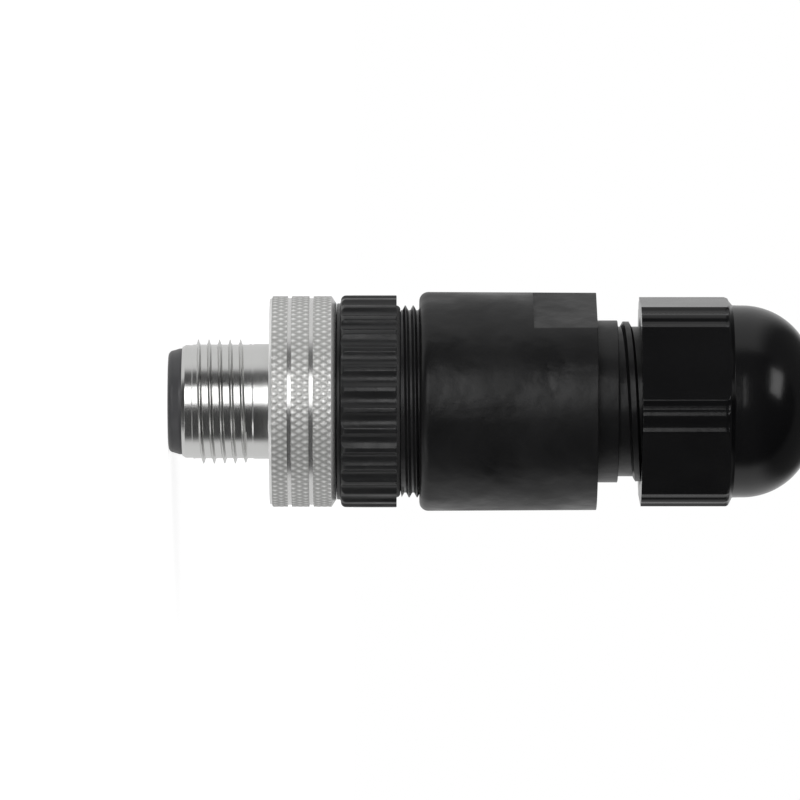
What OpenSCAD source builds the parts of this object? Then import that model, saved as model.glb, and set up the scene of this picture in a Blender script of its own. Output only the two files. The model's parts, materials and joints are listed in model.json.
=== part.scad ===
// M12 connector, male, straight, screw terminals and a cable gland.
// Millimetres. Z runs along the axis from the mating face towards the cable.

/* [Mating end] */
// Diameter over the mating thread
thread_d = 11.8; // [11.76:0.02:11.96]
// Pitch of the mating thread
thread_pitch = 1; // [0.9:0.05:1]
// Number of full turns on the mating thread
thread_turns = 5; // [4:1:5]
// Diameter of the knurled flange
flange_d = 20; // [19.6:0.1:20.4]
// Knurl diamonds round the flange
knurl_count = 88; // [72:2:96]
// Depth of the knurl
knurl_depth = 0.24; // [0.15:0.01:0.28]
// Contacts' pitch circle diameter
contact_circle = 5.5; // [5.4:0.1:5.6]
// Diameter of a contact's pin
pin_d = 1; // [0.95:0.01:1.02]

/* [Grip ring] */
// Diameter over the ribs
grip_d = 20.14; // [19.9:0.02:20.3]
// Number of ribs
rib_count = 32; // [28:2:34]
// Width of the hollow between two ribs
valley_w = 1.4; // [1.2:0.05:1.45]
// Depth of the hollow between two ribs
valley_depth = 0.35; // [0.25:0.01:0.4]
// Diameter over the skirt thread
skirt_d = 18.2; // [18:0.05:18.3]
// Pitch of the skirt thread
skirt_pitch = 0.75; // [0.7:0.05:0.8]

/* [Housing] */
// Diameter at the open end
housing_d = 20.76; // [20.6:0.02:20.9]
// Diameter at the gland end
housing_rear_d = 20.6; // [20.4:0.02:20.7]
// Distance across the two wrench flats
flats_w = 19; // [18.8:0.1:19.4]
// Diameter over the gland thread
neck_d = 15.16; // [15:0.02:15.2]
// Pitch of the gland thread
neck_pitch = 2.35; // [2.2:0.05:2.4]

/* [Gland] */
// Distance across the nut's flats
nut_w = 19; // [18.8:0.1:19.2]
// Diameter over the nut's corners
nut_corner_d = 20.5; // [20.3:0.05:20.7]
// Radius of the dome's curve
dome_r = 6.82; // [6.7:0.02:6.9]
// Bore of the gland seal, the largest cable it takes
cable_d = 8; // [7.6:0.1:8]
// Fingers of the clamping cage
finger_count = 8; // [6:2:10]

/* [Hidden] */
$fn = 96;
eps = 0.01;
// Running clearance, on the radius, of pieces that turn or slide on each other
run = 0.07;

// Places along the axis, from the mating face
barrel_z = 1.3;
lip_top_z = 1.26;
thread_z = 2.82;
flange_z = 9.6;
flange_top_z = 15.89;
grip_z = 15.95;
grip_top_z = 21.6;
skirt_top_z = 28.5;
housing_z = 23.75;
flats_z = 34.5;
housing_top_z = 40.5;
collar_top_z = 42.5;
neck_top_z = 52;
nut_z = 44.65;
nut_hex_top_z = 53.35;
dome_z = 54.35;

// Mating end
thread_root_r = 5.4;
thread_land = 0.12;
thread_flank = 16;
barrel_bore_r = 4.95;
shroud_r = barrel_bore_r - run;
shroud_bore_r = 4.2;
cavity_floor_z = 8.6;
journal_z = 10.35;
journal_r = 6.93;
key_turn = 45;
knurl_bands = [[9.86, 11.29], [11.71, 13.34], [13.76, 15.43]];
knurl_core_r = flange_d / 2 - knurl_depth - 0.06;

// Insert behind the mating end
carrier_seat_z = 17.6;
carrier_top_z = 24.5;
carrier_r = 7.62;
block_top_z = 36.2;
block_r = 6.8;
shank_r = 0.85;
barrel_r = 1.6;
barrel_foot_z = 25.5;
barrel_top_z = 35;
screw_z = 31.6;
screw_r = 0.8;
screw_head_r = 1.3;
screw_head_x = 4.7;
screw_top_x = 6.3;

// Grip ring
grip_turn = 4.75;
collar_r = 9.3;
skirt_bore_r = 7.7;
skirt_root_r = 8.65;
seal_section_r = 0.4;
seal_ring_r = 8.7;

// Housing
flat_turn = 25;
housing_bore_r = skirt_d / 2 + 0.08;
housing_bore_top_z = 31;
chamber_r = 7.9;
chamber_top_z = 38.3;
wire_bore_r = 5.2;
seal_seat_z = 43.6;
seal_top_z = 48.55;
neck_bore_r = 6.2;
neck_root_r = 7.1;
neck_collar_r = 7.68;

// Gland
nut_turn = 8;
nut_bore_r = neck_d / 2 + 0.08;
dome_edge_r = 9.1;
dome_wall = 1.52;
cable_hole_r = 4.3;
cage_z = 50.65;
cage_body_r = neck_bore_r - 0.08;
cage_shoulder_z = 54.25;
cage_head_r = 6.6;
cage_bore_r = 4.25;
cage_slot_w = 0.9;

// Points of an arc about (x, y), from angle a to angle b
function arc(x, y, r, a, b, steps = 8) = [
    for (i = [0:steps])
        let (t = a + (b - a) * i / steps)
        [x + r * cos(t), y + r * sin(t)]
];

// Outline of a row of thread ridges, upwards from the one centred at z
function ridges(z, pitch, count, root, crest, land, flank = 30) = [
    for (i = [0:count - 1])
        let (at = z + i * pitch, foot = land / 2 + (crest - root) * tan(flank))
        each [
            [root, at - foot],
            [crest, at - land / 2],
            [crest, at + land / 2],
            [root, at + foot]
        ]
];

// A piece turned to an outline of [radius, height] points
module turned(points) {
    rotate_extrude() polygon(points);
}

module bore(r, from, to) {
    translate([0, 0, from]) cylinder(r = r, h = to - from);
}

// ---- Mating end ----

// One band of diamond knurl: rows of points, in turn a peak and a valley, joined into pyramids
module knurl_band(from, to, peak_r, depth, count) {
    rows = 4;
    per_row = 2 * count;
    points = [
        for (row = [0:rows - 1], i = [0:per_row - 1])
            let (
                r = peak_r - depth * ((row + i) % 2),
                a = 360 * i / per_row,
                z = from + (to - from) * row / (rows - 1)
            )
            [r * cos(a), r * sin(a), z]
    ];
    sides = [
        for (row = [0:rows - 2], i = [0:per_row - 1])
            let (
                next = (i + 1) % per_row,
                a = row * per_row + i,
                b = row * per_row + next,
                c = a + per_row,
                d = b + per_row
            )
            each ((row + i) % 2 == 0 ? [[a, c, b], [b, c, d]] : [[a, d, b], [a, c, d]])
    ];
    // each end is a fan of triangles round a point on the axis
    top = (rows - 1) * per_row;
    centre = rows * per_row;
    hubs = [[0, 0, from], [0, 0, to]];
    ends = [
        for (i = [0:per_row - 1])
            let (next = (i + 1) % per_row)
            each [[centre, i, next], [centre + 1, top + next, top + i]]
    ];
    polyhedron(concat(points, hubs), concat(sides, ends), convexity = 4);
}

// Threaded barrel and knurled flange, turned in one piece
module coupling_ring() {
    crest_r = thread_d / 2;
    barrel = concat(
        [[barrel_bore_r, barrel_z], [5.15, barrel_z], [5.35, barrel_z + 0.35]],
        [[5.35, 2.3], [thread_root_r, 2.35]],
        ridges(thread_z, thread_pitch, thread_turns, thread_root_r, crest_r, thread_land, thread_flank),
        [[thread_root_r, 7.6], [5.55, 7.75], [5.55, 7.85], [5.45, 8.05]]
    );
    flange = [
        [5.45, flange_z],
        [flange_d / 2 - 0.45, flange_z],
        [knurl_core_r, knurl_bands[0][0]],
        [knurl_core_r, knurl_bands[2][1]],
        [flange_d / 2 - 0.05, knurl_bands[2][1]],
        [9.33, flange_top_z],
        [journal_r + run + 0.3, flange_top_z],
        [journal_r + run, flange_top_z - 0.3],
        [journal_r + run, journal_z - 0.05],
        [barrel_bore_r, journal_z - 0.05]
    ];
    color("gainsboro") difference() {
        union() {
            turned(concat(barrel, flange));
            for (band = knurl_bands)
                knurl_band(band[0], band[1], flange_d / 2, knurl_depth, knurl_count);
        }
        bore(barrel_bore_r, barrel_z - eps, flange_top_z + eps);
        bore(journal_r + run, journal_z - 0.05, flange_top_z + eps);
    }
}

module at_contacts() {
    for (a = [0:90:270]) rotate([0, 0, a]) translate([contact_circle / 2, 0, 0]) children();
}

// Shroud, coding key and seat of the contacts, one moulding
module contact_carrier() {
    outline = concat(
        [[shroud_bore_r, 0]],
        arc(4.35, 0.5, 0.5, -90, 0, 4),
        [[5.02, 1.05], [5.02, lip_top_z], [shroud_r, lip_top_z]],
        [[shroud_r, journal_z], [journal_r, journal_z]],
        [[journal_r, carrier_seat_z], [carrier_r, carrier_seat_z], [carrier_r, carrier_top_z - 0.4]],
        [[carrier_r - 0.4, carrier_top_z], [0, carrier_top_z]],
        [[0, cavity_floor_z], [shroud_bore_r, cavity_floor_z]]
    );
    color([0.16, 0.16, 0.17]) difference() {
        union() {
            turned(outline);
            // coding key
            rotate([0, 0, key_turn])
                translate([3.6, -0.45, 1.2])
                cube([shroud_bore_r - 3.6 + 0.2, 0.9, cavity_floor_z - 1.2 + eps]);
            // spigot for the terminal block
            bore(0.9, carrier_top_z - eps, carrier_top_z + 2.5);
        }
        at_contacts() {
            bore(pin_d / 2 + 0.02, cavity_floor_z - 1, 10);
            bore(shank_r + 0.02, 9.6, carrier_top_z + 1);
        }
    }
}

// Moulding that holds the terminal barrels and guides the screws
module terminal_block() {
    color([0.2, 0.2, 0.21]) difference() {
        turned([
            [0, carrier_top_z], [block_r, carrier_top_z], [block_r, block_top_z - 0.5],
            [block_r - 0.5, block_top_z], [0, block_top_z]
        ]);
        bore(0.92, carrier_top_z - eps, carrier_top_z + 2.6);
        at_contacts() {
            bore(barrel_r + 0.02, carrier_top_z - eps, barrel_top_z);
            bore(1, barrel_top_z - eps, block_top_z);
            translate([0, 0, block_top_z - 0.7]) cylinder(r1 = 1, r2 = 1.7, h = 0.7 + eps);
        }
        // a pocket over each screw, open to the side
        for (a = [0:90:270])
            rotate([0, 0, a])
                translate([contact_circle / 2, 0, screw_z])
                rotate([0, 90, 0])
                cylinder(r = screw_head_r + 0.1, h = block_r);
    }
}

// One turned contact: pin, shank, collar and terminal barrel
module contact(turn) {
    pin_r = pin_d / 2;
    color("gold") rotate([0, 0, turn]) translate([contact_circle / 2, 0, 0]) difference() {
        turned([
            [0, 1.4], [0.2, 1.4], [pin_r, 1.9], [pin_r, 9.6], [shank_r, 9.6], [shank_r, barrel_foot_z],
            [barrel_r, barrel_foot_z], [barrel_r, barrel_top_z], [0, barrel_top_z]
        ]);
        bore(0.75, 28.5, barrel_top_z + eps);
        translate([0, 0, screw_z]) rotate([0, 90, 0]) cylinder(r = screw_r, h = barrel_r + 1);
    }
}

module contact_1() { contact(0); }

module contact_2() { contact(90); }

module contact_3() { contact(180); }

module contact_4() { contact(270); }

// The four slotted screws, backed out of the wire bores
module terminal_screws() {
    tip_x = contact_circle / 2 + 0.8;
    color("silver") for (a = [0:90:270]) rotate([0, 0, a]) translate([0, 0, screw_z]) difference() {
        rotate([0, 90, 0]) rotate_extrude() polygon([
            [0, tip_x], [screw_r + 0.02, tip_x], [screw_r + 0.02, screw_head_x],
            [screw_head_r, screw_head_x], [screw_head_r, screw_top_x - 0.15],
            [screw_head_r - 0.15, screw_top_x], [0, screw_top_x]
        ]);
        translate([screw_top_x - 0.6, -0.2, -2]) cube([1, 0.4, 4]);
    }
}

// ---- Grip ring ----

// Ribbed ring and threaded skirt, one moulding
module grip_ring() {
    grip_r = grip_d / 2;
    valley_r = (pow(valley_w / 2, 2) + pow(valley_depth, 2)) / (2 * valley_depth);
    valley_x = grip_r - valley_depth + valley_r;
    skirt_turns = floor((skirt_top_z - 22.3) / skirt_pitch);
    outline = concat(
        [[journal_r + 0.05, grip_z], [collar_r, grip_z], [collar_r, grip_z + 0.3]],
        arc(grip_r - 0.6, grip_z + 0.9, 0.6, -70, 0, 6),
        [[grip_r, grip_top_z], [seal_ring_r + 0.45, grip_top_z]],
        [[seal_ring_r + 0.45, grip_top_z - 0.43], [skirt_root_r - 0.35, grip_top_z - 0.43]],
        [[skirt_root_r - 0.35, grip_top_z + 0.25], [skirt_root_r, grip_top_z + 0.35]],
        ridges(22.42, skirt_pitch, skirt_turns, skirt_root_r, skirt_d / 2, 0.1),
        [[skirt_root_r, skirt_top_z - 0.3], [skirt_root_r - 0.3, skirt_top_z]],
        [[skirt_bore_r, skirt_top_z], [skirt_bore_r, carrier_seat_z]],
        [[journal_r + 0.05, carrier_seat_z]]
    );
    color([0.1, 0.1, 0.1]) difference() {
        turned(outline);
        for (i = [0:rib_count - 1])
            rotate([0, 0, grip_turn + (i + 0.5) * 360 / rib_count])
                translate([valley_x, 0, grip_z - 1])
                cylinder(r = valley_r, h = grip_top_z - grip_z + 2, $fn = 32);
    }
}

// O-ring in the grip ring's rear face
module housing_seal() {
    color([0.05, 0.05, 0.05])
        translate([0, 0, grip_top_z - 0.45 + seal_section_r])
        rotate_extrude()
        translate([seal_ring_r, 0])
        circle(r = seal_section_r, $fn = 32);
}

// ---- Housing ----

// Sleeve, collar and gland thread, one moulding
module housing() {
    front_r = housing_d / 2;
    rear_r = housing_rear_d / 2;
    edge = 0.85;
    neck_turns = 4;
    outside = concat(
        [[0, housing_z]],
        arc(front_r - edge, housing_z + edge, edge, -90, 0),
        [[rear_r, housing_top_z], [neck_collar_r, housing_top_z], [neck_collar_r, collar_top_z]],
        [[neck_root_r, collar_top_z + 0.1]],
        ridges(44.1, neck_pitch, neck_turns, neck_root_r, neck_d / 2, 0.55),
        [[neck_root_r, neck_top_z - 0.3], [neck_root_r - 0.3, neck_top_z], [0, neck_top_z]]
    );
    color([0.13, 0.13, 0.14]) difference() {
        turned(outside);
        bore(housing_bore_r, housing_z - eps, housing_bore_top_z);
        translate([0, 0, housing_z - eps])
            cylinder(r1 = housing_bore_r + 0.35, r2 = housing_bore_r, h = 0.35);
        bore(chamber_r, housing_bore_top_z - eps, chamber_top_z);
        bore(wire_bore_r, chamber_top_z - eps, seal_seat_z + eps);
        bore(neck_bore_r, seal_seat_z, neck_top_z + eps);
        for (side = [0, 180])
            rotate([0, 0, flat_turn + side])
                translate([flats_w / 2, -10, flats_z])
                cube([5, 20, housing_top_z - flats_z + eps]);
    }
}

// ---- Gland ----

// Rubber sleeve that closes on the cable
module gland_seal() {
    r = neck_bore_r - 0.06;
    bore_r = cable_d / 2;
    groove_r = r - 0.45;
    color([0.25, 0.25, 0.26]) turned([
        [bore_r + 0.3, seal_seat_z + 0.02], [r - 0.3, seal_seat_z + 0.02],
        [r, seal_seat_z + 0.32], [r, 45.4], [groove_r, 45.7], [groove_r, 46.4], [r, 46.7],
        [r, seal_top_z - 0.3], [r - 0.3, seal_top_z], [bore_r + 0.3, seal_top_z],
        [bore_r, seal_top_z - 0.3], [bore_r, seal_seat_z + 0.32]
    ]);
}

// Slotted ring whose fingers the nut's dome bends in
module clamping_cage() {
    finger_r = dome_r - dome_wall - 0.1;
    color([0.75, 0.75, 0.72]) difference() {
        turned(concat(
            [[cage_bore_r, cage_z], [cage_body_r - 0.3, cage_z], [cage_body_r, cage_z + 0.3]],
            [[cage_body_r, cage_shoulder_z], [cage_head_r, cage_shoulder_z + 0.6]],
            arc(dome_edge_r - dome_r, dome_z, finger_r, 34, 62, 6),
            [[cage_bore_r, dome_z + finger_r * sin(62)]]
        ));
        for (i = [0:finger_count / 2 - 1])
            rotate([0, 0, i * 360 / finger_count])
                translate([-10, -cage_slot_w / 2, cage_z + 1.6])
                cube([20, cage_slot_w, 10]);
    }
}

// Hexagon with rounded-off corners and a domed end, one moulding
module gland_nut() {
    corner_r = nut_corner_d / 2;
    dome_x = dome_edge_r - dome_r;
    inner_r = dome_r - dome_wall;
    corner_half = acos(nut_w / 2 / corner_r);
    hole_a = acos((cable_hole_r - dome_x) / dome_r);
    inner_a = acos((cable_hole_r - dome_x) / inner_r);
    outside = concat(
        [[0, nut_z], [corner_r - 0.25, nut_z], [corner_r, nut_z + 0.25]],
        [[corner_r, nut_hex_top_z - 0.85]],
        arc(dome_edge_r + 0.2, nut_hex_top_z - 0.85, corner_r - dome_edge_r - 0.2, 8, 47, 4),
        [[dome_edge_r, nut_hex_top_z]],
        arc(dome_x, dome_z, dome_r, 0, hole_a, 16),
        [[0, dome_z + dome_r * sin(hole_a)]]
    );
    inside = concat(
        [[0, nut_z - eps], [nut_bore_r + 0.4, nut_z - eps], [nut_bore_r, nut_z + 0.4]],
        [[nut_bore_r, dome_z - 0.05]],
        arc(dome_x, dome_z, inner_r, 0, inner_a, 14),
        [[cable_hole_r, 70], [0, 70]]
    );
    color([0.07, 0.07, 0.07]) difference() {
        intersection() {
            turned(outside);
            rotate([0, 0, nut_turn - 30])
                translate([0, 0, nut_z - 1])
                cylinder(r = nut_w / 2 / cos(30), h = 20, $fn = 6);
        }
        turned(inside);
        // two fine grooves along each corner
        for (i = [0:5], side = [-1, 1])
            rotate([0, 0, nut_turn + 30 + 60 * i + side * (30 - corner_half - 2.1)])
                translate([corner_r + 0.08, 0, nut_z - 1])
                cylinder(r = 0.22, h = nut_hex_top_z - nut_z, $fn = 16);
    }
}

coupling_ring();
contact_carrier();
terminal_block();
contact_1();
contact_2();
contact_3();
contact_4();
terminal_screws();
grip_ring();
housing_seal();
housing();
gland_seal();
clamping_cage();
gland_nut();
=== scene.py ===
# M12 connector: fine forms, finishes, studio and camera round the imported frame.
# Z runs along the axis from the mating face towards the cable.
import json
import bpy
import numpy as np
from mathutils import Matrix, Vector


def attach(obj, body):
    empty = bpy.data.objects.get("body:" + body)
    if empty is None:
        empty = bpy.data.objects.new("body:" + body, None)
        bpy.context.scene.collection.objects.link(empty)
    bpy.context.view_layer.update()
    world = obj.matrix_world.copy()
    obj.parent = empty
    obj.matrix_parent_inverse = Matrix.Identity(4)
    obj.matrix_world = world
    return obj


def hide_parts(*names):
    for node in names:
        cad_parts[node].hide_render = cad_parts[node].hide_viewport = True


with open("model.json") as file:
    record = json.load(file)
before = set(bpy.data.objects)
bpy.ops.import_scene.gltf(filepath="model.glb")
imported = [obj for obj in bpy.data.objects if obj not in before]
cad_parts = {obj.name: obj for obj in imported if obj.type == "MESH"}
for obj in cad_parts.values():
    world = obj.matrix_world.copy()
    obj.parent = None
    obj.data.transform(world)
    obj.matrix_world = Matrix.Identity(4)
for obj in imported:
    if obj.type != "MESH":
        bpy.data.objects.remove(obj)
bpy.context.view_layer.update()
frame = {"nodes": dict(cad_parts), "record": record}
mm = 0.001  # every piece is worked out in millimetres and stored in metres
tiny = 1e-6  # two lengths that differ by less are the same
mergeSteps = 1e5  # points are merged on a grid with this many steps to the millimetre
turn = 2 * np.pi
print("frame loaded")


def roundedOutline(corners, steps=4):
    # Each corner (radius, height, fillet) becomes an arc that touches both of its sides.
    # The arc's centre is fillet / sin(half angle) from the corner, on the line that halves it.
    count = len(corners)
    points = []
    for i, (r, z, fillet) in enumerate(corners):
        here = np.array([r, z], float)
        if fillet == 0:
            points.append(here[None])
            continue
        before = np.array(corners[i - 1][:2], float) - here
        after = np.array(corners[(i + 1) % count][:2], float) - here
        before /= np.linalg.norm(before)
        after /= np.linalg.norm(after)
        half = 0.5 * np.arccos(np.clip(before @ after, -1, 1))
        middle = (before + after) / np.linalg.norm(before + after)
        centre = here + middle * fillet / np.sin(half)
        start = here + before * fillet / np.tan(half) - centre
        end = here + after * fillet / np.tan(half) - centre
        sweep = np.pi - 2 * half
        t = np.linspace(0, 1, steps + 1)[:, None]
        arc = (np.sin((1 - t) * sweep) * start + np.sin(t * sweep) * end) / np.sin(sweep)
        points.append(centre + arc)
    return np.concatenate(points)


def supported(outline, near=0.05):
    # Each side longer than 4 x near gets a point at that distance from both of its ends, so
    # that its shading stays straight
    after = np.roll(outline, -1, axis=0)
    side = after - outline
    length = np.linalg.norm(side, axis=1)
    step = side * near / np.maximum(length, tiny)[:, None]
    points = np.stack([outline, outline + step, after - step], axis=1)
    long = length > 4 * near
    return points[np.stack([np.ones_like(long), long, long], axis=1)]


def helixPatch(thread, angles):
    # A right-hand thread on a root cylinder between two heights. Rows follow the helix, which
    # climbs pitch x (angle - pi) / full turn, and stop at the two ends. The crest is at crestZ
    # on the side of angle pi. Where the angle starts again, row i meets row i + one pitch.
    # The profile lists distance from the crest's middle and share of the ridge's height.
    profile = np.array(thread["profile"])
    distance = np.concatenate([-profile[::-1, 0], profile[:, 0], [thread["pitch"] / 2]])
    offsets, chosen = np.unique(distance, return_index=True)
    share = np.concatenate([profile[::-1, 1], profile[:, 1], [0]])[chosen]
    heights = share * (thread["crest"] - thread["root"])
    each = len(offsets)
    spare = 2  # turns past each end, which the clip below presses flat
    lowest = np.floor((thread["from"] - thread["crestZ"]) / thread["pitch"]) - spare
    highest = np.ceil((thread["to"] - thread["crestZ"]) / thread["pitch"]) + spare
    turns = np.arange(lowest, highest)
    base = (thread["crestZ"] + turns[:, None] * thread["pitch"] + offsets).ravel()[:, None]
    ridge = np.tile(heights, len(turns))[:, None]
    z = base + thread["pitch"] * (angles - np.pi) / turn
    z = np.clip(z, thread["from"], thread["to"])
    grow = fade(z, thread["from"], thread["from"] + thread["fadeIn"])
    grow = grow * (1 - fade(z, thread["to"] - thread["fadeOut"], thread["to"]))
    radius = thread["root"] + ridge * grow
    rows, columns = z.shape
    row, column = np.meshgrid(np.arange(rows - 1), np.arange(columns), indexing="ij")
    seam = column == columns - 1
    right = (column + 1) % columns
    low = np.minimum(row + each * seam, rows - 1)
    high = np.minimum(row + 1 + each * seam, rows - 1)
    a = (row * columns + column).ravel()
    b = (low * columns + right).ravel()
    c = ((row + 1) * columns + column).ravel()
    d = (high * columns + right).ravel()
    return radius, z, np.concatenate([np.stack([a, b, d], 1), np.stack([a, d, c], 1)])


def inside(outline, thread):
    # Points of the bare root between a thread's two ends, which its patch takes the place of
    between = (outline[:, 1] > thread["from"] + tiny) & (outline[:, 1] < thread["to"] - tiny)
    return between & (np.abs(outline[:, 0] - thread["root"]) < tiny)


def ringMesh(name, radius, height, angles, lattice=None, thread=None, sharp=30):
    # Point (row, column) is (radius cos a, radius sin a, height), closed round the axis and
    # along the outline. Diagonals alternate from cell to cell, so a knurl's slanting edges stay
    # straight. A thread's patch takes the place of the row of faces between its two heights.
    # Edges that turn by more than sharp degrees are shaded as sharp.
    rows, columns = radius.shape
    row, column = np.meshgrid(np.arange(rows), np.arange(columns), indexing="ij")
    a = row * columns + column
    b = row * columns + (column + 1) % columns
    c = (row + 1) % rows * columns + column
    d = (row + 1) % rows * columns + (column + 1) % columns
    cell = row
    if lattice:
        middle = 0.5 * (height + np.roll(height, -1, axis=0))
        cell = np.floor((middle - lattice[0]) / lattice[1]).astype(int)
    even = ((cell + column) % 2 == 0)[..., None]
    first = np.where(even, np.stack([a, b, d], -1), np.stack([a, b, c], -1))
    second = np.where(even, np.stack([a, d, c], -1), np.stack([b, d, c], -1))
    x, y, z = radius * np.cos(angles), radius * np.sin(angles), height
    if thread:
        atStart = np.abs(height[:, 0] - thread["from"]) < tiny
        bare = atStart & (np.abs(radius[:, 0] - thread["root"]) < tiny)
        first, second = first[~bare], second[~bare]
        patchRadius, patchZ, patchFaces = helixPatch(thread, angles)
        patchFaces = patchFaces + radius.size
        x = np.concatenate([x, patchRadius * np.cos(angles)])
        y = np.concatenate([y, patchRadius * np.sin(angles)])
        z = np.concatenate([z, patchZ])
    faces = np.concatenate([first.reshape(-1, 3), second.reshape(-1, 3)])
    if thread:
        faces = np.concatenate([faces, patchFaces])
    points = np.stack([x.ravel(), y.ravel(), z.ravel()], -1)
    key = np.round(points * mergeSteps).astype(np.int64)
    keep, index = np.unique(key, axis=0, return_index=True, return_inverse=True)[1:]
    points = points[keep] * mm
    faces = index.reshape(-1)[faces]
    whole = (faces[:, 0] != faces[:, 1]) & (faces[:, 1] != faces[:, 2]) & (faces[:, 2] != faces[:, 0])
    faces = faces[whole]
    mesh = bpy.data.meshes.new(name)
    mesh.vertices.add(len(points))
    mesh.vertices.foreach_set("co", points.astype(np.float32).ravel())
    mesh.loops.add(len(faces) * 3)
    mesh.loops.foreach_set("vertex_index", faces.astype(np.int32).ravel())
    mesh.polygons.add(len(faces))
    mesh.polygons.foreach_set("loop_start", np.arange(0, len(faces) * 3, 3, dtype=np.int32))
    mesh.polygons.foreach_set("use_smooth", np.ones(len(faces), bool))
    mesh.update()
    mesh.validate()
    mesh.set_sharp_from_angle(angle=np.radians(sharp))
    piece = bpy.data.objects.new(name, mesh)
    bpy.context.scene.collection.objects.link(piece)
    return piece


def fade(z, start, end):
    # 0 before start, 1 after end, with a soft s-curve between them
    t = np.clip((z - start) / (end - start), 0, 1)
    return t * t * (3 - 2 * t)


def softMin(a, b, blend):
    # Smaller of two radii, with the edge where they meet rounded over about blend
    mix = np.clip(0.5 + 0.5 * (b - a) / blend, 0, 1)
    return b * (1 - mix) + a * mix - blend * mix * (1 - mix)


def addNode(tree, kind, **values):
    node = tree.nodes.new(kind)
    for key, value in values.items():
        setattr(node, key, value)
    return node


def newGroup(name, inputs, outputs):
    group = bpy.data.node_groups.new(name, "ShaderNodeTree")
    for label, kind, value in inputs:
        socket = group.interface.new_socket(label, in_out="INPUT", socket_type=kind)
        if value is not None:
            socket.default_value = value
    for label, kind in outputs:
        group.interface.new_socket(label, in_out="OUTPUT", socket_type=kind)
    return group, addNode(group, "NodeGroupInput"), addNode(group, "NodeGroupOutput")


def mouldedSkin():
    # Fine mottle of moulded plastic: a grain in two sizes for height, and cloudy gloss
    group, into, out = newGroup(
        "mouldedSkin",
        [("Coordinates", "NodeSocketVector", None), ("Grain", "NodeSocketFloat", 2500.0),
         ("Cloud", "NodeSocketFloat", 180.0), ("Cloud Height", "NodeSocketFloat", 0.0),
         ("Rough Low", "NodeSocketFloat", 0.4), ("Rough High", "NodeSocketFloat", 0.5)],
        [("Height", "NodeSocketFloat"), ("Roughness", "NodeSocketFloat"), ("Mask", "NodeSocketFloat")],
    )
    link = group.links.new
    grain = addNode(group, "ShaderNodeTexNoise")
    grain.inputs["Detail"].default_value = 3
    cloud = addNode(group, "ShaderNodeTexNoise")
    cloud.inputs["Detail"].default_value = 2.5
    rough = addNode(group, "ShaderNodeMapRange")
    rough.inputs["From Min"].default_value = 0.35
    rough.inputs["From Max"].default_value = 0.65
    link(into.outputs["Coordinates"], grain.inputs["Vector"])
    link(into.outputs["Coordinates"], cloud.inputs["Vector"])
    link(into.outputs["Grain"], grain.inputs["Scale"])
    link(into.outputs["Cloud"], cloud.inputs["Scale"])
    link(cloud.outputs[0], rough.inputs["Value"])
    link(into.outputs["Rough Low"], rough.inputs["To Min"])
    link(into.outputs["Rough High"], rough.inputs["To Max"])
    swell = addNode(group, "ShaderNodeMath", operation="MULTIPLY_ADD")
    link(cloud.outputs[0], swell.inputs[0])
    link(into.outputs["Cloud Height"], swell.inputs[1])
    link(grain.outputs[0], swell.inputs[2])
    link(swell.outputs[0], out.inputs["Height"])
    link(rough.outputs[0], out.inputs["Roughness"])
    link(cloud.outputs[0], out.inputs["Mask"])
    return group


def turnedSkin():
    # Lathe marks: noise stretched round the axis, so its lines run across Z
    group, into, out = newGroup(
        "turnedSkin",
        [("Coordinates", "NodeSocketVector", None), ("Lines", "NodeSocketFloat", 9000.0),
         ("Rough Low", "NodeSocketFloat", 0.1), ("Rough High", "NodeSocketFloat", 0.25)],
        [("Height", "NodeSocketFloat"), ("Roughness", "NodeSocketFloat"), ("Mask", "NodeSocketFloat")],
    )
    link = group.links.new
    split = addNode(group, "ShaderNodeSeparateXYZ")
    join = addNode(group, "ShaderNodeCombineXYZ")
    lines = addNode(group, "ShaderNodeTexNoise")
    lines.inputs["Detail"].default_value = 2
    wide = addNode(group, "ShaderNodeTexNoise")
    wide.inputs["Scale"].default_value = 220
    rough = addNode(group, "ShaderNodeMapRange")
    rough.inputs["From Min"].default_value = 0.3
    rough.inputs["From Max"].default_value = 0.7
    link(into.outputs["Coordinates"], split.inputs[0])
    for axis in "XY":
        stretch = addNode(group, "ShaderNodeMath", operation="MULTIPLY")
        stretch.inputs[1].default_value = 0.02  # a mark is 50 times as long as it is wide
        link(split.outputs[axis], stretch.inputs[0])
        link(stretch.outputs[0], join.inputs[axis])
    link(split.outputs["Z"], join.inputs["Z"])
    link(join.outputs[0], lines.inputs["Vector"])
    link(into.outputs["Lines"], lines.inputs["Scale"])
    link(into.outputs["Coordinates"], wide.inputs["Vector"])
    link(wide.outputs[0], rough.inputs["Value"])
    link(into.outputs["Rough Low"], rough.inputs["To Min"])
    link(into.outputs["Rough High"], rough.inputs["To Max"])
    link(lines.outputs[0], out.inputs["Height"])
    link(rough.outputs[0], out.inputs["Roughness"])
    link(wide.outputs[0], out.inputs["Mask"])
    return group


groups = {"moulded": mouldedSkin(), "turned": turnedSkin()}


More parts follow.
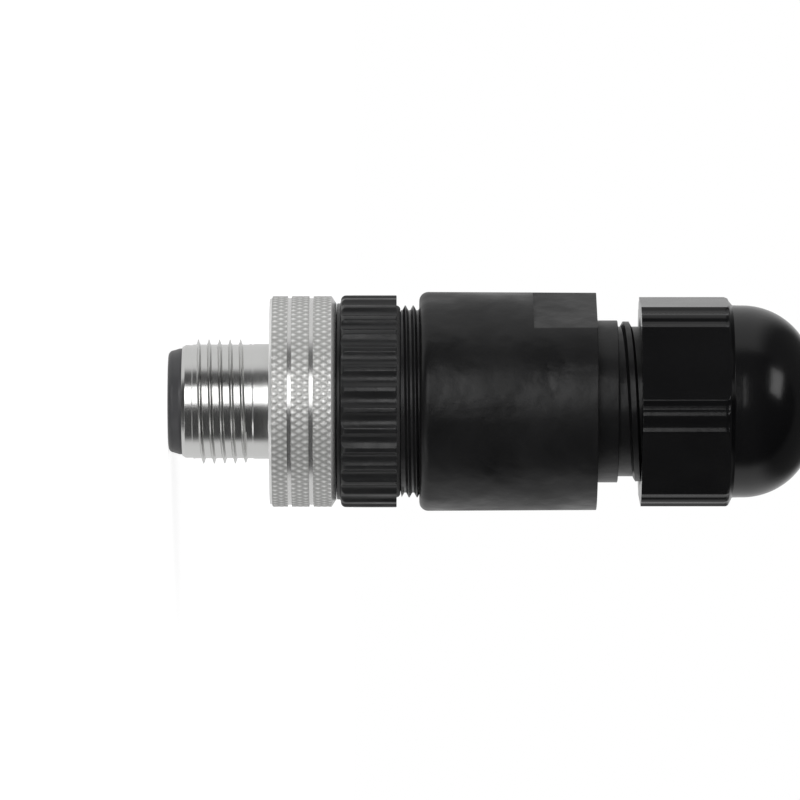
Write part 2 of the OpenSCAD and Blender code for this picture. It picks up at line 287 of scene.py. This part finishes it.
def finish(name, skin, values, darkColor, lightColor, bump, metallic=0.0, specular=0.5, rougher=None):
    # One material: a skin group drives colour, roughness and a fine bump, given as strength
    # and distance in metres. rougher names two mesh attributes: the first blends towards its
    # own roughness and metallic, and towards a painted tone; the second is how far that painted
    # tone has turned from painted shade (the valley colour) into painted highlight (the peak colour).
    material = bpy.data.materials.new(name)
    material.use_nodes = True
    tree = material.node_tree
    link = tree.links.new
    shader = tree.nodes["Principled BSDF"]
    shader.inputs["Metallic"].default_value = metallic
    shader.inputs["Specular IOR Level"].default_value = specular
    coordinates = addNode(tree, "ShaderNodeTexCoord")
    group = addNode(tree, "ShaderNodeGroup", node_tree=groups[skin])
    for label, value in values.items():
        group.inputs[label].default_value = value
    mix = addNode(tree, "ShaderNodeMix", data_type="RGBA")
    mix.inputs["A"].default_value = (*darkColor, 1)
    mix.inputs["B"].default_value = (*lightColor, 1)
    bumpNode = addNode(tree, "ShaderNodeBump")
    bumpNode.inputs["Strength"].default_value = bump[0]
    bumpNode.inputs["Distance"].default_value = bump[1]
    link(coordinates.outputs["Object"], group.inputs["Coordinates"])
    link(group.outputs["Mask"], mix.inputs["Factor"])
    link(mix.outputs["Result"], shader.inputs["Base Color"])
    roughness = group.outputs["Roughness"]
    if rougher:
        mask = addNode(tree, "ShaderNodeAttribute", attribute_name=rougher["mask"])
        blend = addNode(tree, "ShaderNodeMix", data_type="FLOAT")
        blend.inputs["B"].default_value = rougher["roughness"]
        link(mask.outputs["Fac"], blend.inputs["Factor"])
        link(roughness, blend.inputs["A"])
        roughness = blend.outputs["Result"]
        satin = addNode(tree, "ShaderNodeMapRange")
        satin.inputs["To Min"].default_value = metallic
        satin.inputs["To Max"].default_value = rougher["metallic"]
        link(mask.outputs["Fac"], satin.inputs["Value"])
        link(satin.outputs[0], shader.inputs["Metallic"])
        # painted shade and highlight: the valley colour darkens the knurl's hollows, and the peak colour,
        # lighter than the nickel, lightens its peaks as painted glints
        share = addNode(tree, "ShaderNodeAttribute", attribute_name=rougher["share"])
        paintedKnurlTone = addNode(tree, "ShaderNodeMix", data_type="RGBA")
        paintedKnurlTone.inputs["A"].default_value = (*rougher["valley"], 1)
        paintedKnurlTone.inputs["B"].default_value = (*rougher["peak"], 1)
        link(share.outputs["Fac"], paintedKnurlTone.inputs["Factor"])
        colour = addNode(tree, "ShaderNodeMix", data_type="RGBA")
        link(mask.outputs["Fac"], colour.inputs["Factor"])
        link(mix.outputs["Result"], colour.inputs["A"])
        link(paintedKnurlTone.outputs["Result"], colour.inputs["B"])
        link(colour.outputs["Result"], shader.inputs["Base Color"])
    link(roughness, shader.inputs["Roughness"])
    link(group.outputs["Height"], bumpNode.inputs["Height"])
    link(bumpNode.outputs["Normal"], shader.inputs["Normal"])
    return material


# the knurl's valley colour is painted shade in its hollows, and its peak colour, lighter than the nickel, is
# a painted highlight on its peaks
knurlGlossAndPaintedTone = {
    "mask": "knurl", "roughness": 0.36, "metallic": 0.6,
    "share": "crest", "valley": (0.39, 0.39, 0.38), "peak": (0.95, 0.95, 0.94),
}
finishes = {
    "nickel": finish(
        "brightNickel", "turned", {"Lines": 9000.0, "Rough Low": 0.19, "Rough High": 0.26},
        (0.68, 0.68, 0.67), (0.78, 0.78, 0.77), (0.06, 0.00001), metallic=1.0, rougher=knurlGlossAndPaintedTone),
    "black_plastic": finish(
        "blackPolyamide", "moulded",
        {"Grain": 2600.0, "Cloud": 190.0, "Cloud Height": 30.0, "Rough Low": 0.28, "Rough High": 0.46},
        (0.003, 0.003, 0.0032), (0.005, 0.005, 0.0053), (0.4, 0.00003), specular=0.4),
    "grip_plastic": finish(
        "gripPolyamide", "moulded",
        {"Grain": 2600.0, "Cloud": 260.0, "Cloud Height": 14.0, "Rough Low": 0.28, "Rough High": 0.46},
        (0.007, 0.007, 0.0073), (0.01, 0.01, 0.0104), (0.4, 0.00003), specular=0.48),
    "nut_plastic": finish(
        "smoothPolyamide", "moulded", {"Grain": 1800.0, "Rough Low": 0.16, "Rough High": 0.21},
        (0.0022, 0.0022, 0.0024), (0.0032, 0.0032, 0.0035), (0.12, 0.00005), specular=0.4),
    "insert_plastic": finish(
        "insertPolyamide", "moulded", {"Grain": 2600.0, "Rough Low": 0.35, "Rough High": 0.45},
        (0.034, 0.034, 0.036), (0.046, 0.046, 0.048), (0.2, 0.00005)),
    "cage_plastic": finish(
        "greyPolyamide", "moulded", {"Grain": 2200.0, "Rough Low": 0.4, "Rough High": 0.5},
        (0.46, 0.46, 0.44), (0.54, 0.54, 0.52), (0.15, 0.00005)),
    "seal_rubber": finish(
        "sealRubber", "moulded", {"Grain": 3200.0, "Rough Low": 0.55, "Rough High": 0.68},
        (0.018, 0.018, 0.018), (0.026, 0.026, 0.026), (0.2, 0.00005)),
    "contact_metal": finish(
        "goldPlate", "turned", {"Lines": 12000.0, "Rough Low": 0.15, "Rough High": 0.25},
        (0.83, 0.62, 0.26), (0.88, 0.68, 0.32), (0.1, 0.00001), metallic=1.0),
    "screw_steel": finish(
        "zincPlate", "turned", {"Lines": 7000.0, "Rough Low": 0.25, "Rough High": 0.35},
        (0.56, 0.56, 0.55), (0.64, 0.64, 0.62), (0.1, 0.00001), metallic=1.0),
}
print("finishes ready")


def dress(piece, look, slot, body, *nodes):
    # look is the finish that shows. slot, the record's own name for it, is not used.
    piece.data.materials.append(finishes[look])
    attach(piece, body)
    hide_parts(*nodes)


ring = {
    "boreRadius": 4.95, "frontZ": 1.3, "mouthRadius": 5.15, "leadRadius": 5.35, "leadZ": 1.62,
    "neckRadius": 5.45, "flangeZ": 9.6, "flangeRadius": 10.0, "flangeTopZ": 15.89,
    "backRadius": 9.33, "landRadius": 7.3, "counterRadius": 7.0, "counterZ": 10.3, "counterTopZ": 15.6,
    "bandEdges": [[9.86, 11.3], [11.7, 13.34], [13.76, 15.43]], "groove": 0.2,
    "knurlCount": 88, "knurlPitch": 1.16, "knurlZ": 10.15, "knurlDepth": 0.1, "knurlBlunt": 1.7,
    "rimWidth": 0.6, "rimLowZ": 9.9, "rimHighZ": 15.4, "satinRim": 0.8, "satinGroove": 0.12,
    "thread": {"root": 5.4, "crest": 5.9, "pitch": 1.0, "crestZ": 2.82, "from": 2.35, "to": 8.0,
               "profile": [(0.03, 1.0), (0.08, 0.7), (0.12, 0.36), (0.17, 0.1), (0.22, 0.0)],
               "fadeIn": 0.3, "fadeOut": 0.9},
}


def couplingRing(p):
    # Turned outline. The thread adds a helix ridge to it, and the knurl takes away valleys:
    # depth x the larger of two saw waves, one for each family of slanting cuts.
    thread = p["thread"]
    cell = p["knurlPitch"] / 4
    lattice = p["knurlZ"] + cell * np.arange(-2, 20)
    outer, floor = p["flangeRadius"], p["flangeRadius"] - p["groove"]
    clear, wall = 0.04, 0.03  # least distance from a lattice row to a band's edge, and a groove's lean
    flange = [(outer - 0.3, p["flangeZ"], 0.08)]
    for low, high in p["bandEdges"]:
        inner = lattice[(lattice > low + clear) & (lattice < high - clear)]
        flange += [(floor, low - wall, 0), (outer, low, 0)]
        flange += [(outer, z, 0) for z in inner]
        flange += [(outer, high, 0), (floor, high + wall, 0)]
    flange = flange[:-1]  # the last band has no groove behind it
    corners = [
        (p["boreRadius"], p["frontZ"], 0.04), (p["mouthRadius"], p["frontZ"], 0.04),
        (p["leadRadius"], p["leadZ"], 0.06),
        (p["leadRadius"], thread["from"] - 0.05, 0), (thread["root"], thread["from"], 0),
        (thread["root"], thread["to"], 0), (p["neckRadius"], thread["to"] + 0.1, 0),
        (p["neckRadius"], p["flangeZ"], 0.12),
        *flange,
        (p["backRadius"], p["flangeTopZ"], 0.06), (p["landRadius"], p["flangeTopZ"], 0.05),
        (p["counterRadius"], p["counterTopZ"], 0.05), (p["counterRadius"], p["counterZ"], 0),
        (p["boreRadius"], p["counterZ"], 0),
    ]
    outline = supported(roundedOutline(corners))
    outline = outline[~inside(outline, thread)]
    columns = 4 * p["knurlCount"]
    angles = turn * np.arange(columns) / columns
    r, z = outline[:, :1], outline[:, 1:]
    u = angles * p["knurlCount"] / turn
    v = (z - p["knurlZ"]) / p["knurlPitch"]
    sawA = 2 * np.abs((u + v + 0.5) % 1 - 0.5)
    sawB = 2 * np.abs((u - v + 0.5) % 1 - 0.5)
    # the fall from a peak is slow at first, so that peaks come out blunt
    valley = p["knurlDepth"] * np.maximum(sawA, sawB) ** p["knurlBlunt"]
    onBand = sum(((z >= low - 1e-4) & (z <= high + 1e-4)) for low, high in p["bandEdges"]) > 0
    valley = valley * (onBand & (r > outer - 0.01))
    piece = ringMesh("couplingRing", r - valley, z + 0 * angles, angles, (p["knurlZ"], cell), thread, 40)
    # knurl is 1 on the bands, most of that on the flange's edges and little in the grooves. Besides gloss it
    # blends in the painted tone, so the edges and grooves are painted lighter with the peak colour too.
    # crest is (1 - share of the way down to a valley) squared on the bands, and 1 elsewhere; it sets the
    # painted shade in the knurl's valleys and the painted highlight on its peaks.
    place = np.empty(len(piece.data.vertices) * 3, np.float32)
    piece.data.vertices.foreach_get("co", place)
    place = place.reshape(-1, 3) / mm
    out = np.hypot(place[:, 0], place[:, 1])
    up = place[:, 2]
    slack = 0.005
    banded = sum(((up > low - slack) & (up < high + slack)) for low, high in p["bandEdges"]) > 0
    banded = banded & (out > outer - p["knurlDepth"] - 0.01)
    rim = (out > outer - p["rimWidth"]) & ((up < p["rimLowZ"]) | (up > p["rimHighZ"]))
    inGroove = out > floor - 0.2
    down = np.clip((outer - out) / p["knurlDepth"], 0, 1) ** (1 / p["knurlBlunt"])
    layers = {
        "knurl": np.select([rim, banded, inGroove], [p["satinRim"], 1.0, p["satinGroove"]], 0.0),
        "crest": np.where(banded, (1 - down) ** 2, 1.0),
    }
    for label, values in layers.items():
        layer = piece.data.attributes.new(label, "FLOAT", "POINT")
        layer.data.foreach_set("value", values.astype(np.float32))
    return piece


couplingPiece = couplingRing(ring)
dress(couplingPiece, "nickel", "nickel", "coupling_ring", "coupling_ring")
print("coupling ring ready")


grip = {
    "ribCount": 32, "ribTurn": 4.75, "radius": 10.07, "valleyWidth": 1.4, "valleyDepth": 0.35,
    "frontZ": 15.95, "topZ": 21.6, "collarRadius": 9.3, "shoulderZ": 16.32,
    "boreRadius": 6.98, "seatZ": 17.6, "skirtBore": 7.7, "skirtTopZ": 28.5,
    "rimRadius": 9.15, "sealZ": 21.17, "sealRadius": 8.3, "ribBlend": 0.2,
    "thread": {"root": 8.65, "crest": 9.1, "pitch": 0.75, "crestZ": 22.42, "from": 22.0, "to": 28.2,
               "profile": [(0.04, 1.0), (0.28, 0.0)], "fadeIn": 0.1, "fadeOut": 0.4},
}


def gripRing(p):
    # Round hollows between the ribs: each is a circle's arc, blended into the rib's top
    hollow = ((p["valleyWidth"] / 2) ** 2 + p["valleyDepth"] ** 2) / (2 * p["valleyDepth"])
    thread = p["thread"]
    corners = [
        (p["boreRadius"], p["frontZ"], 0.05), (p["collarRadius"], p["frontZ"], 0.1),
        (p["collarRadius"], p["shoulderZ"] - 0.07, 0.05), (p["collarRadius"] + 0.2, p["shoulderZ"], 0.1),
        (p["radius"], p["shoulderZ"], 0.5), (p["radius"], p["topZ"], 0.09),
        (p["rimRadius"], p["topZ"], 0.04), (p["rimRadius"], p["sealZ"], 0), (p["sealRadius"], p["sealZ"], 0),
        (p["sealRadius"], thread["from"] - 0.1, 0.05), (thread["root"], thread["from"], 0),
        (thread["root"], thread["to"], 0), (thread["root"] - 0.3, p["skirtTopZ"], 0.05),
        (p["skirtBore"], p["skirtTopZ"], 0.05), (p["skirtBore"], p["seatZ"], 0),
        (p["boreRadius"], p["seatZ"], 0),
    ]
    outline = supported(roundedOutline(corners, 6))
    outline = outline[~inside(outline, thread)]
    # columns at these shares of a rib's width from a hollow's middle, closest where it ends
    share = np.array([-0.5, -0.47, -0.43, -0.39, -0.36, -0.34, -0.3, -0.24, -0.16, -0.08,
                      0, 0.08, 0.16, 0.24, 0.3, 0.34, 0.36, 0.39, 0.43, 0.47])
    valleys = np.radians(p["ribTurn"]) + turn * (np.arange(p["ribCount"]) + 0.5) / p["ribCount"]
    angles = (valleys[:, None] + share * turn / p["ribCount"]).ravel()
    side = np.tile(share * turn / p["ribCount"] * p["radius"], p["ribCount"])
    dip = np.sqrt(np.maximum(hollow ** 2 - side ** 2, 0)) - (hollow - p["valleyDepth"])
    r, z = outline[:, :1], outline[:, 1:]
    ribbed = softMin(p["radius"] + 0 * side, p["radius"] - np.maximum(dip, -p["ribBlend"]), p["ribBlend"])
    onRibs = (z < p["topZ"] + 0.001) & (r > p["collarRadius"] - 0.1)
    radius = np.where(onRibs, np.minimum(r, ribbed), r + 0 * ribbed)
    return ringMesh("gripRing", radius, z + 0 * angles, angles, None, thread)


gripPiece = gripRing(grip)
dress(gripPiece, "grip_plastic", "black_plastic", "insert", "grip_ring")
print("grip ring ready")


sleeve = {
    "frontZ": 23.75, "frontRadius": 10.38, "rearRadius": 10.3, "topZ": 40.5, "edge": 0.85,
    "flatZ": 34.5, "flatHalf": 9.5, "flatTurn": 25.0, "flatBlend": 0.03, "flatLead": 0.08,
    "collarRadius": 7.68, "collarTopZ": 42.5, "neckTopZ": 52.0, "neckBore": 6.2, "sealSeatZ": 43.6,
    "wireBore": 5.2, "chamberRadius": 7.9, "chamberTopZ": 38.3, "boreRadius": 9.18, "boreTopZ": 31.0,
    "mouthRadius": 9.53, "mouthZ": 24.1, "columns": 240,
    "thread": {"root": 7.1, "crest": 7.58, "pitch": 2.35, "crestZ": 43.28, "from": 42.6, "to": 51.7,
               "profile": [(0.25, 1.0), (0.51, 0.0)], "fadeIn": 0.25, "fadeOut": 0.5},
}


def housing(p):
    # Sleeve whose radius is cut to flatHalf / cos(angle off the flat's middle) above flatZ
    thread = p["thread"]
    slope = (p["rearRadius"] - p["frontRadius"]) / (p["topZ"] - p["frontZ"])
    atFlat = p["frontRadius"] + slope * (p["flatZ"] - p["frontZ"])
    corners = [
        (p["mouthRadius"], p["frontZ"], 0.04), (p["frontRadius"], p["frontZ"], p["edge"]),
        (atFlat, p["flatZ"] - 0.02, 0), (atFlat, p["flatZ"], 0), (atFlat, p["flatZ"] + p["flatLead"], 0),
        (p["rearRadius"], p["topZ"], 0.07), (p["collarRadius"], p["topZ"], 0.06),
        (p["collarRadius"], p["collarTopZ"], 0.07), (thread["root"] + 0.03, p["collarTopZ"], 0),
        (thread["root"], thread["from"], 0), (thread["root"], thread["to"], 0),
        (thread["root"] - 0.3, p["neckTopZ"], 0.05), (p["neckBore"], p["neckTopZ"], 0.05),
        (p["neckBore"], p["sealSeatZ"], 0), (p["wireBore"], p["sealSeatZ"], 0),
        (p["wireBore"], p["chamberTopZ"], 0), (p["chamberRadius"], p["chamberTopZ"], 0.3),
        (p["chamberRadius"], p["boreTopZ"], 0), (p["boreRadius"], p["boreTopZ"], 0),
        (p["boreRadius"], p["mouthZ"], 0),
    ]
    outline = supported(roundedOutline(corners, 8))
    outline = outline[~inside(outline, thread)]
    flatEdge = np.arccos(p["flatHalf"] / atFlat)
    middle = np.radians(p["flatTurn"])
    # three more columns at each of the four edges where a flat meets the round
    extra = np.array([middle + half + side * flatEdge + near
                      for half in (0, np.pi) for side in (-1, 1) for near in (-0.006, 0, 0.006)])
    even = turn * np.arange(p["columns"]) / p["columns"]
    angles = np.unique(np.concatenate([even, extra % turn]))
    angles = angles[:len(angles) // 2 * 2]  # an even number, for the diagonals to alternate all round
    r, z = outline[:, :1], outline[:, 1:]
    cut = p["flatHalf"] / np.maximum(np.abs(np.cos(angles - middle)), 0.3)
    flat = softMin(r + 0 * cut, cut + 0 * r, p["flatBlend"])
    radius = np.where((z >= p["flatZ"] - 0.001) & (r > p["boreRadius"] + 0.02), flat, r + 0 * flat)
    return ringMesh("housingSleeve", radius, z + 0 * angles, angles, None, thread)


housingPiece = housing(sleeve)
dress(housingPiece, "black_plastic", "black_plastic", "housing", "housing")
print("housing ready")


nut = {
    "frontZ": 44.65, "flatHalf": 9.5, "cornerRadius": 10.25, "turn": 8.0, "hexTopZ": 53.35,
    "domeZ": 54.35, "domeEdge": 9.1, "domeRadius": 6.82, "wall": 1.52, "holeRadius": 4.3,
    "boreRadius": 7.66, "beadRadius": 1.05, "beadHalf": 0.72, "grooveOff": 1.1, "grooveHalf": 0.5,
    "grooveDepth": 0.22, "flatBlend": 0.04, "backFillet": 0.6,
}


def glandNut(p):
    # Hexagon: flatHalf / cos(angle off the face's middle), never more than the turned outline.
    # Along each corner runs a bead, which falls by arm squared / (2 x beadRadius), and beside
    # it a groove, a cosine wave squared. arm is the distance from the corner's middle.
    # The dome is an arc of domeRadius about a ring of radius domeEdge - domeRadius.
    ringRadius = p["domeEdge"] - p["domeRadius"]
    inner = p["domeRadius"] - p["wall"]
    holeAngle = np.arccos((p["holeRadius"] + 0.25 - ringRadius) / p["domeRadius"])
    innerAngle = np.arccos((p["holeRadius"] - ringRadius) / inner)
    out = np.linspace(0, holeAngle, 40)[:, None]
    back = np.linspace(innerAngle, 0, 24)[:, None]
    centre = np.array([ringRadius, p["domeZ"]])
    dome = centre + p["domeRadius"] * np.hstack([np.cos(out), np.sin(out)])
    ceiling = centre + inner * np.hstack([np.cos(back), np.sin(back)])
    tipZ = p["domeZ"] + p["domeRadius"] * np.sin(holeAngle)
    base = roundedOutline([
        (p["boreRadius"], p["frontZ"] + 0.4, 0), (p["boreRadius"] + 0.4, p["frontZ"], 0.05),
        (p["cornerRadius"], p["frontZ"], 0.06), (p["cornerRadius"], p["hexTopZ"] - 0.55, p["backFillet"]),
        (p["domeEdge"] + 0.02, p["hexTopZ"], 0.1), (p["domeEdge"], p["domeZ"] - 0.3, 0),
    ], 8)
    lip = roundedOutline([(p["holeRadius"] + 0.3, tipZ, 0), (p["holeRadius"], tipZ - 0.1, 0.08),
                          (p["holeRadius"], tipZ - 0.4, 0)])
    outline = np.concatenate([base, dome, lip[1:], ceiling, [[p["boreRadius"], p["domeZ"] - 0.1]]])
    outline = supported(outline)
    cornerHalf = np.pi / 6 - np.arccos(p["flatHalf"] / p["cornerRadius"])
    groove = p["grooveOff"] / p["cornerRadius"]
    wide = p["grooveHalf"] / p["cornerRadius"]
    # columns by their angle off the corner: across the groove, over the bead, and on the face
    near = np.concatenate([groove + wide * np.array([-0.7, -0.35, 0, 0.35, 0.7, 1, 1.15]),
                           p["beadHalf"] / p["cornerRadius"] * np.linspace(0, 1, 7),
                           [cornerHalf + 0.012, cornerHalf + 0.024]])
    off = np.unique(np.concatenate([near, np.linspace(cornerHalf + 0.03, np.pi / 6, 12)]))
    sector = np.unique(np.round(np.concatenate([-off, off]), 9))[:-1]
    corners = np.radians(p["turn"] + 30) + np.arange(6) * np.pi / 3
    angles = (corners[:, None] + sector).ravel()
    offCorner = np.tile(sector, 6)
    r, z = outline[:, :1], outline[:, 1:]
    face = p["flatHalf"] / np.cos(np.pi / 6 - np.abs(offCorner))
    hexagon = softMin(r + 0 * face, face + 0 * r, p["flatBlend"])
    arm = np.abs(offCorner) * p["cornerRadius"]
    wave = np.cos(np.pi / 2 * np.clip((arm - p["grooveOff"]) / p["grooveHalf"], -1, 1)) ** 2
    hollow = wave * p["grooveDepth"]
    bead = np.minimum(arm ** 2 / (2 * p["beadRadius"]), p["grooveDepth"])
    cut = np.where(arm < p["grooveOff"], np.maximum(bead, hollow), hollow)
    cut = cut * fade(z, p["frontZ"] - 0.2, p["frontZ"])
    cut = cut * (1 - fade(z, p["hexTopZ"] - 0.7, p["hexTopZ"] - 0.4)) * (r > p["cornerRadius"] - 0.35)
    outside = (z < p["hexTopZ"] + 0.05) & (r > p["boreRadius"] + 0.54)
    radius = np.where(outside, hexagon - cut, r + 0 * face)
    return ringMesh("glandNut", radius, z + 0 * angles, angles)


nutPiece = glandNut(nut)
dress(nutPiece, "nut_plastic", "nut_plastic", "gland_nut", "gland_nut")
print("gland nut ready")


slotOf = {part["node"]: part["material_slot"] for part in frame["record"]["subparts"]}
for name, node in frame["nodes"].items():
    node.data.materials.clear()
    node.data.materials.append(finishes[slotOf[name]])
print("frame pieces dressed")


studio = {
    "floorSize": 6.0, "floorDrop": 0.00005, "floorColor": (0.8, 0.8, 0.8), "floorGlow": 0.78,
    "glowFrom": 0.05, "glowTo": 0.35, "skyLight": 0.72, "skyDark": 0.08, "skyDarkest": 0.045,
    "fallStart": 0.2, "fallEnd": 0.55, "fallTo": 0.15,
}


def studioWorld(p):
    # Light all round but for a dark part in front, which gives the bright metal its dark
    # bands. The angle round the axis runs from the front (-Y) towards -X.
    world = bpy.data.worlds.new("studioWorld")
    bpy.context.scene.world = world
    world.use_nodes = True
    tree = world.node_tree
    link = tree.links.new
    tree.nodes.clear()
    output = addNode(tree, "ShaderNodeOutputWorld")
    coordinates = addNode(tree, "ShaderNodeTexCoord")
    split = addNode(tree, "ShaderNodeSeparateXYZ")
    angle = addNode(tree, "ShaderNodeMath", operation="ARCTAN2")
    share = addNode(tree, "ShaderNodeMapRange")
    share.inputs["From Min"].default_value = -np.pi
    share.inputs["From Max"].default_value = np.pi
    ramp = addNode(tree, "ShaderNodeValToRGB")
    link(coordinates.outputs["Generated"], split.inputs[0])
    for i, axis in enumerate("XY"):
        flip = addNode(tree, "ShaderNodeMath", operation="MULTIPLY")
        flip.inputs[1].default_value = -1
        link(split.outputs[axis], flip.inputs[0])
        link(flip.outputs[0], angle.inputs[i])
    link(angle.outputs[0], share.inputs["Value"])
    link(share.outputs[0], ramp.inputs["Fac"])
    light, dark, darkest = p["skyLight"], p["skyDark"], p["skyDarkest"]
    stops = [(-180, light), (-92, light), (-80, darkest), (10, darkest),
             (60, dark), (70, light), (180, light)]  # degrees and strength
    while len(ramp.color_ramp.elements) < len(stops):
        ramp.color_ramp.elements.new(0.5)
    for element, (degrees, value) in zip(ramp.color_ramp.elements, stops):
        element.position = (degrees + 180) / 360
        element.color = (value, value, value, 1)
    # towards the cable end (+Z) the room falls off to dark
    fall = addNode(tree, "ShaderNodeMapRange", interpolation_type="SMOOTHSTEP")
    fall.inputs["From Min"].default_value = p["fallStart"]
    fall.inputs["From Max"].default_value = p["fallEnd"]
    fall.inputs["To Min"].default_value = 1
    fall.inputs["To Max"].default_value = p["fallTo"]
    link(split.outputs["Z"], fall.inputs["Value"])
    sky = addNode(tree, "ShaderNodeBackground")
    link(ramp.outputs["Color"], sky.inputs["Color"])
    link(fall.outputs[0], sky.inputs["Strength"])
    # what the camera sees, straight or through glass, is white, strength 1
    path = addNode(tree, "ShaderNodeLightPath")
    seen = addNode(tree, "ShaderNodeMath", operation="MAXIMUM")
    white = addNode(tree, "ShaderNodeBackground")
    white.inputs["Color"].default_value = (1, 1, 1, 1)
    mix = addNode(tree, "ShaderNodeMixShader")
    link(path.outputs["Is Camera Ray"], seen.inputs[0])
    link(path.outputs["Is Transmission Ray"], seen.inputs[1])
    link(seen.outputs[0], mix.inputs["Fac"])
    link(sky.outputs[0], mix.inputs[1])
    link(white.outputs[0], mix.inputs[2])
    link(mix.outputs[0], output.inputs["Surface"])


def studioFloor(p):
    # A light table: its own glow and the lamps' light add up to white for the camera, and the
    # object's shadow shows where the lamps' part is missing. Reflections, the cards' light and
    # all that comes from underneath pass through it.
    half = p["floorSize"] / 2
    level = -p["floorDrop"]
    mesh = bpy.data.meshes.new("floor")
    corners = [(-half, -half, level), (half, -half, level), (half, half, level), (-half, half, level)]
    mesh.from_pydata(corners, [], [(0, 1, 2, 3)])
    floor = bpy.data.objects.new("floor", mesh)
    bpy.context.scene.collection.objects.link(floor)
    material = bpy.data.materials.new("paleFloor")
    material.use_nodes = True
    tree = material.node_tree
    link = tree.links.new
    shader = tree.nodes["Principled BSDF"]
    shader.inputs["Base Color"].default_value = (*p["floorColor"], 1)
    shader.inputs["Roughness"].default_value = 0.6
    shader.inputs["Specular IOR Level"].default_value = 0.0
    # the glow rises with the distance from the object, so that the far floor is white too
    coordinates = addNode(tree, "ShaderNodeTexCoord")
    away = addNode(tree, "ShaderNodeVectorMath", operation="LENGTH")
    glow = addNode(tree, "ShaderNodeMapRange", interpolation_type="SMOOTHSTEP")
    glow.inputs["From Min"].default_value = p["glowFrom"]
    glow.inputs["From Max"].default_value = p["glowTo"]
    glow.inputs["To Min"].default_value = p["floorGlow"]
    glow.inputs["To Max"].default_value = 1
    link(coordinates.outputs["Object"], away.inputs[0])
    link(away.outputs["Value"], glow.inputs["Value"])
    path = addNode(tree, "ShaderNodeLightPath")
    glowing = addNode(tree, "ShaderNodeEmission")
    toCamera = addNode(tree, "ShaderNodeMath", operation="MULTIPLY")
    link(glow.outputs[0], toCamera.inputs[0])
    link(path.outputs["Is Camera Ray"], toCamera.inputs[1])
    link(toCamera.outputs[0], glowing.inputs["Strength"])
    lit = addNode(tree, "ShaderNodeAddShader")
    link(shader.outputs[0], lit.inputs[0])
    link(glowing.outputs[0], lit.inputs[1])
    side = addNode(tree, "ShaderNodeNewGeometry")
    clear = addNode(tree, "ShaderNodeBsdfTransparent")
    through = addNode(tree, "ShaderNodeMixShader")
    passes = side.outputs["Backfacing"]
    for kind in ["Is Glossy Ray", "Is Shadow Ray"]:
        most = addNode(tree, "ShaderNodeMath", operation="MAXIMUM")
        link(passes, most.inputs[0])
        link(path.outputs[kind], most.inputs[1])
        passes = most.outputs[0]
    link(passes, through.inputs["Fac"])
    link(lit.outputs[0], through.inputs[1])
    link(clear.outputs[0], through.inputs[2])
    link(through.outputs[0], tree.nodes["Material Output"].inputs["Surface"])
    mesh.materials.append(material)


cards = {
    "frontCard": {"place": (-0.1975, -0.9, -0.14), "aim": 0.02, "size": (0.585, 0.42), "power": 1.92},
    "sideCard": {"place": (-0.294, -0.482, 0.755), "aim": 0.055, "size": (0.42, 0.3), "power": 1.15},
    "leftCard": {"place": (0.3, -0.55, -0.5), "aim": 0.015, "size": (0.5, 0.5), "power": 0.15},
    "underCard": {"place": (0.62, -0.36, -0.42), "aim": 0.013, "size": (0.4, 0.4), "power": 0.6},
    "fillCard": {"place": (-0.25, -1.2, 0.2), "aim": 0.03, "size": (1.2, 1.2), "power": 20.0},
}


def softCard(name, p):
    # An area light that faces the point of the axis at height aim
    lamp = bpy.data.lights.new(name, "AREA")
    lamp.shape = "RECTANGLE"
    lamp.size, lamp.size_y = p["size"]
    lamp.energy = p["power"]
    card = bpy.data.objects.new(name, lamp)
    card.location = p["place"]
    direction = Vector((0, 0, p["aim"])) - Vector(p["place"])
    card.rotation_euler = direction.to_track_quat("-Z", "Y").to_euler()
    bpy.context.scene.collection.objects.link(card)
    return card


studioWorld(studio)
studioFloor(studio)
lights = {name: softCard(name, card) for name, card in cards.items()}
lights["fillCard"].visible_glossy = False  # it lifts matt surfaces and leaves the reflections alone
bpy.context.scene.view_settings.view_transform = "Standard"
print("studio ready")


shot = {"distance": 757.0, "height": 21.92, "side": -0.133, "width": 75.83}  # millimetres
lens = bpy.data.cameras.new("camera")
lens.sensor_width = 36
lens.lens = lens.sensor_width * shot["distance"] / shot["width"]
lens.clip_start = 0.01
cameraObject = bpy.data.objects.new("camera", lens)
# picture right is +Z and picture up is -X, so the axis lies level in the picture
cameraObject.matrix_world = Matrix((
    (0, -1, 0, shot["side"] * mm),
    (0, 0, -1, -shot["distance"] * mm),
    (1, 0, 0, shot["height"] * mm),
    (0, 0, 0, 1),
))
bpy.context.scene.collection.objects.link(cameraObject)
bpy.context.scene.camera = cameraObject
print("camera ready")
